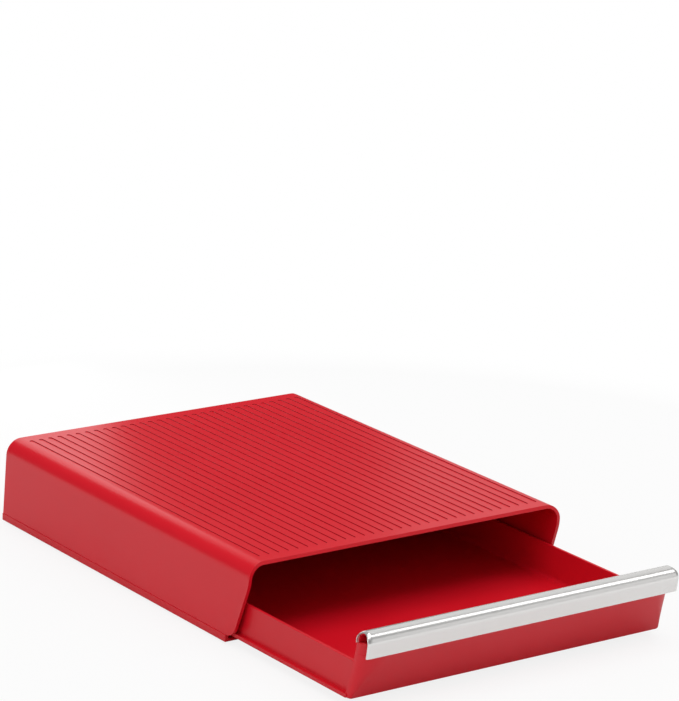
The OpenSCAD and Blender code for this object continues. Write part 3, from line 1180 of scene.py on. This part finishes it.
@dataclass(frozen=True)
class Screws(Piece):
    """Pan-head screws with a cross recess."""

    name: str = "base_plate_screws"
    node: str = "base_screws"
    slot: Slot = Slot.SCREWS
    arris: Arris = Arris(width=0.0001, segments=2, angle=math.radians(50))
    row: ScrewRow = ScrewRow()
    shank_r: float = 0.0012
    tip_r: float = 0.0004
    crown: float = 0.0005
    cross_l: float = 0.0013
    cross_w: float = 0.00036
    cross_depth: float = 0.0008
    cross_round: float = 0.00008
    cross_draft: float = 0.0001
    cross_steps: int = 2
    flat_share: float = 1.15
    crown_steps: int = 5
    steps: int = 32

    def shape(self, mesh: BMesh) -> None:
        """Turn each screw around its axis and sink a cross into its head.

        Args:
            mesh: The piece's mesh.
        """
        for axis in self.row.axes(self.low.z, self.row.head_r):
            rim = axis + ACROSS * self.row.head_r
            shank = ACROSS * self.shank_r
            tip = Vector((axis.x, axis.y, self.high.z))
            pen = Pen(mesh, axis + ACROSS * (self.cross_l * self.flat_share))
            pen.bend(rim, rim + UP * self.crown, self.crown_steps)
            pen.to(rim + UP * self.row.head_t, axis + shank + UP * self.row.head_t,
                   tip + shank - UP * self.shank_r, tip + ACROSS * self.tip_r, tip)
            turned(mesh, pen, axis, self.steps)
            bmesh.ops.remove_doubles(mesh, verts=mesh.verts, dist=SAME_PLACE)
            self.recess(mesh, axis)

    def recess(self, mesh: BMesh, axis: Vector) -> None:
        """Fill a head's open middle and sink a cross into it.

        Args:
            mesh: The mesh with the turned screw.
            axis: The middle of the head's face.
        """
        arm, half = self.cross_l, self.cross_w
        corner = [Vector((arm, half, 0)), Vector((half, half, 0)), Vector((half, arm, 0))]
        cross = outline(mesh, [axis + Matrix.Rotation(turn, 3, "Z") @ point
                               for turn in (0, math.pi / 2, math.pi, 1.5 * math.pi)
                               for point in corner])
        border = [edge for edge in mesh.edges if len(edge.link_faces) == 1
                  and (edge.verts[0].co - axis).length < 2 * self.cross_l
                  and abs(edge.verts[0].co.z - axis.z) < SAME_PLACE]
        bmesh.ops.triangle_fill(mesh, use_beauty=True, edges=border + cross.edges, normal=-UP)
        Relief(-self.cross_depth, self.cross_round, self.cross_draft,
               self.cross_steps).carve(mesh, [cross], -UP)


@dataclass(frozen=True)
class Strip(Piece):
    """Silver arch over the bead, rounded towards its ends."""

    name: str = "silver_handle_strip"
    node: str = "handle_strip"
    body: Body = Body.DRAWER
    slot: Slot = Slot.STRIP
    arris: Arris = Arris(width=0.00018, segments=2)
    front: DrawerFront = DrawerFront()
    foot_round: float = 0.0002
    end_l: float = 0.0036
    end_r: float = 0.0011
    leg_steps: int = 4
    arch_steps: int = 24
    end_steps: int = 7

    def ring(self, mesh: BMesh, x: float, taper: float, recess: float) -> Pen:
        """Draw the strip's closed section.

        Args:
            mesh: The mesh that is drawn in.
            x: The section's place.
            taper: How far its outer face lies inside the strip's own.
            recess: Share of the end's rounding that moves the arch towards the middle.

        Returns:
            The ring. Its outer chain comes first, and then its inner chain.
        """
        front = self.front
        inner, lean = front.strip_t, front.strip_lean
        foot, back_foot = front.foot + self.foot_round, front.top - front.back_leg
        hub = Vector((x, front.y - front.arch_r, front.arch_z))
        start = Vector((0, -math.cos(lean), -math.sin(lean))) * (front.arch_r - taper)
        pen = Pen(mesh, Vector((x, front.leg_y(taper, foot), foot)))
        pen.line(hub + start, self.leg_steps)
        pen.arc(hub, ACROSS, -math.pi - lean, self.arch_steps)
        pen.to(Vector((x, front.y - taper, back_foot)), Vector((x, front.y - inner, back_foot)),
               Vector((x, front.y - inner, front.arch_z)))
        pen.arc(hub, ACROSS, math.pi + lean, self.arch_steps)
        pen.line(Vector((x, front.leg_y(inner, foot), foot)), self.leg_steps)
        return front.round_end(pen.close(), recess)

    def shape(self, mesh: BMesh) -> None:
        """Join the strip's sections, which shrink towards its ends.

        Args:
            mesh: The piece's mesh.
        """
        ends = [(self.high.x - self.end_l * (1 - math.cos(turn)),
                 self.end_r * (1 - math.sin(turn)), math.cos(turn))
                for turn in quarter(self.end_steps)]
        sections = [(-x, taper, recess) for x, taper, recess in ends] + ends[::-1]
        loft(mesh, [self.ring(mesh, *section) for section in sections], wall_end)


@dataclass(frozen=True)
class Panel(Piece):
    """Slanted red front with soft upright corners and a bead under the strip."""

    name: str = "slanted_front"
    node: str = "front_panel"
    body: Body = Body.DRAWER
    arris: Arris = Arris(width=0.0004)
    front: DrawerFront = DrawerFront()
    skin: float = 0.0022
    corner_top: float = 0.0205
    corner_foot: float = 0.0022
    corner_growth: float = 1.5
    corner_depth: float = 0.96
    least_depth: float = 0.0005
    corner_power: float = 2.5
    step_back: float = 0.0012
    step_rise: float = 0.0001
    top_taper: float = 0.0008
    foot_r: float = 0.0014
    flare: float = 0.0018
    flare_h: float = 0.015
    flare_power: float = 1.5
    flare_levels: tuple[float, ...] = (0.15, 0.3, 0.45, 0.6, 0.8, 1.0)
    face_levels: tuple[float, ...] = (0.6, 0.7, 0.8, 0.9, 1.0)
    bead_wall: float = 0.002
    bead_lip: float = 0.0007
    bead_taper: float = 0.009
    bead_leg: float = 0.002
    bead_recess: float = 0.0005
    cheek_drop: float = 0.0015
    lip_room: float = 0.0013
    snap_count: int = 4
    snap_w: float = 0.012
    snap_h: float = 0.004
    snap_margin: float = 0.032
    snap_reach: float = 0.0041
    foot_steps: int = 6
    bead_steps: int = 20
    front_steps: tuple[int, int] = (20, 6)

    @property
    def cheek_top(self) -> float:
        """Height of the cheeks' upper ends."""
        return self.front.arch_z - self.cheek_drop

    def corner_reach(self, z: float) -> float:
        """How far a corner's round reaches along the front at a height.

        Args:
            z: Height in the frame.

        Returns:
            The reach, which grows from the foot to the strip.
        """
        share = (z - self.front.bottom) / (self.front.foot - self.front.bottom)
        grown = min(max(share, 0), 1) ** self.corner_growth
        return self.corner_foot + (self.corner_top - self.corner_foot) * grown

    def ring(self, mesh: BMesh, z: float, narrow: float, back: float) -> Pen:
        """Draw the skin's closed section in a level plane.

        Args:
            mesh: The mesh that is drawn in.
            z: Height of the section.
            narrow: How far its sides lie inside the panel's full width.
            back: Where its cheeks end.

        Returns:
            The ring. Its outer chain comes first, and then its inner chain.
        """
        pen = None
        for inset, side in ((0.0, -1), (self.skin, 1)):
            half = side * (self.high.x - narrow - inset)
            face = self.front.face_y(z) + inset / math.cos(self.front.slant)
            face += self.step_back if z > self.front.foot + SAME_PLACE else 0
            depth = max((back - face) * self.corner_depth, self.least_depth)
            start = Vector((half, back, z))
            pen = pen.to(start) if pen else Pen(mesh, start)
            pen.to(Vector((half, face + depth, z)))
            pen.round_front(face, self.corner_reach(z) - inset / 2, self.front_steps,
                            self.corner_power)
            pen.to(Vector((-half, back, z)))
        return pen.close()

    def flare_at(self, z: float) -> float:
        """How far the cheeks flare out at a height near the foot."""
        left = max(1 - (z - self.front.bottom) / self.flare_h, 0)
        return self.flare * left ** self.flare_power

    def levels(self) -> list[tuple[float, float, float]]:
        """List the skin's sections from the foot up.

        Returns:
            Their heights, how far their sides lie in and where their cheeks end.
        """
        front, taper = self.front, self.top_taper
        foot = [(front.bottom + self.foot_r * (1 - math.cos(turn)),
                 self.foot_r * (1 - math.sin(turn))) for turn in quarter(self.foot_steps)]
        sides = [(z, inset - self.flare_at(z)) for z, inset in foot]
        for share in self.flare_levels:
            z = front.bottom + self.flare_h * share
            sides.append((z, -self.flare_at(z)))
        for share in self.face_levels:
            sides.append((front.bottom + (front.foot - front.bottom) * share, taper * share ** 2))
        sides += [(front.foot + self.step_rise, taper), ((front.foot + front.rebate) / 2, taper)]
        return [(z, narrow, front.cheek_y(z)) for z, narrow in sides] + [
            (front.rebate, taper, front.y),
            (front.rebate + self.step_rise / 2, 2 * taper, front.bead_y),
            (self.cheek_top, 2 * taper, front.bead_y)]

    def shape(self, mesh: BMesh) -> None:
        """Join the skin's sections and add the bead and the snaps.

        Args:
            mesh: The piece's mesh.
        """
        loft(mesh, [self.ring(mesh, *level) for level in self.levels()], wall_end)
        self.bead(mesh)
        self.bead_back(mesh)
        self.snaps(mesh)

    def bead(self, mesh: BMesh) -> None:
        """Add the bead's arch, with a thin lip at its open ends.

        Args:
            mesh: The mesh that it is added to.
        """
        front = self.front
        end = box("handle_strip")[1].x - front.strip_t - self.bead_recess
        inward = end - self.bead_taper
        outer = front.arch_r - front.strip_t - front.fit
        rings = []
        for x, wall, recess in ((-end, self.bead_lip, 1), (-inward, self.bead_wall, 0),
                                (inward, self.bead_wall, 0), (end, self.bead_lip, 1)):
            hub = Vector((x, front.y - front.arch_r, front.arch_z))
            far, near, leg = ALONG * outer, ALONG * (outer - wall), UP * self.bead_leg
            pen = Pen(mesh, hub - far - leg).to(hub - far)
            pen.arc(hub, ACROSS, -math.pi, self.bead_steps)
            pen.to(hub + far - leg, hub + near - leg, hub + near)
            pen.arc(hub, ACROSS, math.pi, self.bead_steps)
            rings.append(front.round_end(pen.to(hub - near - leg).close(), recess))
        loft(mesh, rings, cap)

    def bead_back(self, mesh: BMesh) -> None:
        """Add the wall between the cheeks that carries the bead's back.

        Args:
            mesh: The mesh that it is added to.
        """
        front = self.front
        lip = box("drawer_tray")[1].z + self.lip_room
        rebate, inside = front.rebate - front.fit, front.bead_y - self.bead_wall
        section = ((inside, lip), (front.cheek_y(lip) - front.fit, lip),
                   (front.y - front.fit, rebate), (front.bead_y, rebate),
                   (front.bead_y, self.cheek_top), (inside, self.cheek_top))
        half = self.high.x - self.skin / 2 - self.top_taper
        loft(mesh, [outline(mesh, [Vector((side * half, y, z)) for y, z in section])
                    for side in SIDES], cap)

    def snaps(self, mesh: BMesh) -> None:
        """Add the tabs that hold the panel on the tray, square to its face.

        Args:
            mesh: The mesh that they are added to.
        """
        z = (self.front.foot + self.front.bottom) / 2
        half = Vector((self.snap_w / 2, 0, self.snap_h / 2))
        tilt = Matrix.Rotation(self.front.slant, 4, "X")
        for x in spread(self.snap_count, self.high.x - self.snap_margin):
            verts = block(mesh, ALONG * self.skin / 2 - half, ALONG * self.snap_reach + half)
            place = Matrix.Translation((x, self.front.face_y(z), z)) @ tilt
            bmesh.ops.transform(mesh, matrix=place, verts=verts)


@dataclass(frozen=True)
class Tray(Piece):
    """Open tray with running flanges, round inner edges and stops under its back."""

    name: str = "pull_out_tray"
    node: str = "drawer_tray"
    body: Body = Body.DRAWER
    slot: Slot = Slot.TRAY
    front: DrawerFront = DrawerFront()
    panel: Panel = Panel()
    stops: Stops = Stops()
    wall: float = 0.002
    front_wall: float = 0.0016
    cheek_wall: float = 0.003
    floor_t: float = 0.0018
    flange_w: float = 0.003
    flange_t: float = 0.003
    flange_reach: float = 0.0028
    floor_round: float = 0.003
    shoulder: float = 0.0004
    corner_share: float = 0.8
    least_step: float = 0.0025
    stop_inset: float = 0.0001
    stop_root: float = 0.0008
    floor_steps: int = 5
    front_steps: tuple[int, int] = (10, 1)

    def ring(self, mesh: BMesh, z: float, inner: bool, inset: float) -> Pen:
        """Draw the tray's outline in a level plane.

        Args:
            mesh: The mesh that is drawn in.
            z: Height of the outline.
            inner: Is this the walls' inner face?
            inset: How far the outline lies inside that face.

        Returns:
            The closed outline.
        """
        front, panel = self.front, self.panel
        nest = panel.skin + front.fit
        half = front.tray_half - inset - self.wall * inner
        nose = panel.high.x - panel.top_taper - nest - inset - self.front_wall * inner
        face = front.face_y(z) + (nest + self.front_wall * inner) / math.cos(front.slant) + inset
        step = front.cheek_y(z) + front.fit + self.cheek_wall * inner
        step = max(step, face + self.least_step)
        back = self.high.y - inset - self.wall * inner
        pen = Pen(mesh, Vector((-half, back, z)))
        pen.to(Vector((-half, step + self.shoulder, z)), Vector((-nose, step, z)))
        pen.round_front(face, panel.corner_reach(z) * self.corner_share, self.front_steps,
                        panel.corner_power)
        pen.to(Vector((half, step + self.shoulder, z)), Vector((half, back, z)))
        return pen.close()

    def flanges(self, mesh: BMesh) -> None:
        """Draw the flanges out of the foot of each side.

        Args:
            mesh: The mesh with the tray's walls.
        """
        half, top = self.front.tray_half, self.front.bottom + self.flange_t
        for side in SIDES:
            foot = [face for face in mesh.faces if face.calc_center_median().z < top
                    and all(abs(vert.co.x - side * half) < SAME_PLACE for vert in face.verts)]
            verts = draw_out(mesh, foot, ACROSS * side * self.flange_w)
            tips = [vert for vert in verts if vert.co.y < 0]
            bmesh.ops.translate(mesh, vec=-ALONG * self.flange_reach, verts=tips)

    def shape(self, mesh: BMesh) -> None:
        """Join the tray's outlines, and add its flanges and its stops.

        Args:
            mesh: The piece's mesh.
        """
        bottom, top, stops = self.front.bottom, self.high.z, self.stops
        levels = [(bottom, False, 0.0), (bottom + self.flange_t, False, 0.0), (top, False, 0.0),
                  (top, True, 0.0)]
        for turn in quarter(self.floor_steps):
            z = bottom + self.floor_t + self.floor_round * (1 - math.sin(turn))
            levels.append((z, True, self.floor_round * (1 - math.cos(turn))))
        loft(mesh, [self.ring(mesh, *level) for level in levels], cap)
        self.flanges(mesh)
        for side in SIDES:
            middle = Vector((side * stops.x, self.high.y, 0))
            block(mesh, middle + Vector((-stops.width / 2, -stops.length, self.low.z)),
                  middle + Vector((stops.width / 2, -self.stop_inset, bottom + self.stop_root)))


# ---- Studio ----


@dataclass(frozen=True)
class Shot:
    """The camera, as an azimuth and elevation of its aim, a roll and a lens."""

    place: tuple[float, float, float] = (-1.32450, -1.80351, 0.79171)
    azimuth: float = math.radians(36.8464)
    elevation: float = math.radians(15.1736)
    roll: float = math.radians(2.4384)
    focal_px: float = 3364.445
    centre_px: tuple[float, float] = (369.391, 327.753)
    frame_px: tuple[int, int] = (679, 701)
    clip: tuple[float, float] = (0.05, 60)

    def build(self) -> None:
        """Make the camera and look through it."""
        data = bpy.data.cameras.new("camera")
        data.sensor_fit = "HORIZONTAL"
        width, height = self.frame_px
        data.lens = self.focal_px * data.sensor_width / width
        data.shift_x = (width / 2 - self.centre_px[0]) / width
        data.shift_y = (self.centre_px[1] - height / 2) / width
        data.clip_start, data.clip_end = self.clip
        aim = Vector((math.sin(self.azimuth) * math.cos(self.elevation),
                      math.cos(self.azimuth) * math.cos(self.elevation),
                      -math.sin(self.elevation)))
        level = Vector((math.cos(self.azimuth), -math.sin(self.azimuth), 0))
        rise = level.cross(aim)
        right = level * math.cos(self.roll) + rise * math.sin(self.roll)
        up = rise * math.cos(self.roll) - level * math.sin(self.roll)
        camera = bpy.data.objects.new("camera", data)
        camera.matrix_world = Matrix.Translation(self.place) @ Matrix(
            (right, up, -aim)).transposed().to_4x4()
        bpy.context.scene.collection.objects.link(camera)
        bpy.context.scene.camera = camera


@dataclass(frozen=True)
class Softbox:
    """One soft lamp that faces the object."""

    name: str
    place: tuple[float, float, float]
    size: tuple[float, float]
    power: float

    def build(self) -> None:
        """Make the lamp."""
        data = bpy.data.lights.new(self.name, "AREA")
        data.shape = "RECTANGLE"
        data.size, data.size_y = self.size
        data.energy = self.power
        lamp = bpy.data.objects.new(self.name, data)
        lamp.location = self.place
        lamp.visible_camera = False
        lamp.rotation_mode = "QUATERNION"
        lamp.rotation_quaternion = (-Vector(self.place)).to_track_quat("-Z", "Y")
        bpy.context.scene.collection.objects.link(lamp)


@dataclass(frozen=True)
class Studio:
    """Pale floor, even surround and soft lamps."""

    floor_size: float = 24.0
    floor_cells: int = 8
    floor_colour: float = 0.73
    floor_mottle: float = 0.004
    floor_rough: float = 0.8
    floor_specular: float = 0.1
    floor_grain: float = 3.0
    surround: float = 0.50
    gloss_surround: float = 0.09
    white_near: float = 0.30
    white_far: float = 0.62
    white_least: float = 0.85
    lamps: tuple[Softbox, ...] = (
        Softbox("top_softbox", (-0.1, -0.3, 1.9), (1.6, 1.6), 22.5),
        Softbox("left_softbox", (-2.0, -0.6, 1.1), (1.2, 1.4), 10.8),
        Softbox("back_softbox", (0.015, 0.5, 0.2), (0.24, 0.4), 0.31),
        Softbox("back_right_softbox", (0.73, 0.45, 0.28), (0.54, 0.4), 0.33),
        Softbox("high_softbox", (0.3, 1.25, 1.0), (0.9, 0.55), 0.7),
        Softbox("right_softbox", (1.2, 0.7, 1.3), (1.4, 1.2), 2.7),
        Softbox("edge_softbox", (1.22, -0.75, 1.48), (0.5, 0.8), 3.3),
        Softbox("front_softbox", (1.3, -1.7, 0.62), (1.2, 1.0), 2.3),
    )

    def floor_finish(self) -> bpy.types.Material:
        """Make the floor's finish, which turns white away from the object and to the camera.

        Returns:
            The material.
        """
        made, kit = new_material("pale_floor")
        place = kit.place()
        seen = kit.add("LightPath").outputs
        grain = kit.add("TexNoise", Vector=place, Scale=self.floor_grain, Detail=2.0)
        tone = kit.ramp(grain.outputs["Fac"], 0.0, 1.0, self.floor_colour - self.floor_mottle,
                        self.floor_colour + self.floor_mottle)
        plain = kit.add("BsdfPrincipled", Base_Color=tone, Roughness=self.floor_rough,
                        Specular_IOR_Level=self.floor_specular)
        away = kit.add("VectorMath", set_operation="LENGTH", _0=place).outputs["Value"]
        far = kit.ramp(away, self.white_near, self.white_far, kind="SMOOTHSTEP")
        least = kit.math("MULTIPLY", seen["Is Camera Ray"], self.white_least)
        glossy = kit.math("MAXIMUM", seen["Is Glossy Ray"], seen["Is Transmission Ray"])
        share = kit.math("MULTIPLY", kit.math("MAXIMUM", far, least),
                         kit.math("MAXIMUM", seen["Is Camera Ray"], glossy))
        white = kit.add("Emission", Strength=1.0)
        mixed = kit.add("MixShader", _0=share, _1=plain.outputs[0], _2=white.outputs[0])
        kit.add("OutputMaterial", Surface=mixed.outputs[0])
        return made

    def floor(self) -> None:
        """Make the floor."""
        mesh = bmesh.new()
        bmesh.ops.create_grid(mesh, x_segments=self.floor_cells, y_segments=self.floor_cells,
                              size=self.floor_size / 2)
        data = bpy.data.meshes.new("floor")
        mesh.to_mesh(data)
        mesh.free()
        floor = bpy.data.objects.new("floor", data)
        bpy.context.scene.collection.objects.link(floor)
        data.materials.append(self.floor_finish())

    def world(self) -> None:
        """Make the surround: a grey that lights the object and looks white to the camera."""
        world = bpy.data.worlds.new("surround")
        bpy.context.scene.world = world
        world.use_nodes = True
        kit = NodeKit(world.node_tree)
        path = kit.add("LightPath").outputs
        seen = kit.math("MAXIMUM", path["Is Camera Ray"], path["Is Transmission Ray"])
        gloss = kit.math("MULTIPLY_ADD", path["Is Glossy Ray"],
                         self.gloss_surround - self.surround, self.surround)
        level = kit.add("Mix", set_data_type="FLOAT", _0=seen, _2=gloss, _3=1.0)
        light = kit.add("Background", Strength=level.outputs[0])
        kit.add("OutputWorld", Surface=light.outputs[0])

    def build(self) -> None:
        """Set up the stage."""
        self.floor()
        self.world()
        for lamp in self.lamps:
            lamp.build()
        bpy.context.scene.view_settings.view_transform = "Standard"


def main() -> None:
    """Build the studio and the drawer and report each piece."""
    logging.basicConfig(level=logging.INFO, format="%(name)s: %(message)s")
    Shot().build()
    Studio().build()
    cover = Cover()
    # painted shade on the deck's groove walls
    shade = GrooveWallPaintedShade(cover.deck - cover.groove_depth, cover.deck, cover.edge_x,
                        cover.deck_front + cover.groove_front_band / 2,
                        cover.back - cover.groove_back_band / 2)
    gloss_red = MouldedPlastic("red_cover_plastic", (0.62, 0.004, 0.014), (0.67, 0.006, 0.018),
                               0.285, 0.34)
    red_deck = replace(gloss_red, name="red_deck_plastic", rough=0.33, shade=shade).material()
    red_cover = gloss_red.material()
    red_tray = MouldedPlastic("red_tray_plastic", (0.60, 0.004, 0.013), (0.65, 0.006, 0.017),
                              0.30, 0.40).material()
    silver = SatinMetal("satin_silver", (0.87, 0.86, 0.845), (0.84, 0.83, 0.815),
                        0.225, 0.268, metallic=0.7).material()
    zinc = SatinMetal("zinc_plate", (0.52, 0.53, 0.55), (0.40, 0.41, 0.43), 0.28, 0.42).material()
    rubber = MouldedPlastic("black_rubber", (0.012, 0.012, 0.013), (0.022, 0.022, 0.024),
                            0.62, 0.8, relief=0.2, specular=0.3).material()
    feet = [(Foot(f"{node}_pad", node), rubber) for node in FOOT_NODES]
    for part, material in [(cover, red_deck), (BasePlate(), red_tray), *feet, (Screws(), zinc),
                           (Tray(), red_tray), (Panel(), red_cover), (Strip(), silver)]:
        piece = part.build(material)
        log.info("%s: %d faces, %s", piece.name, len(piece.data.polygons), material.name)


if __name__ == "__main__":
    main()
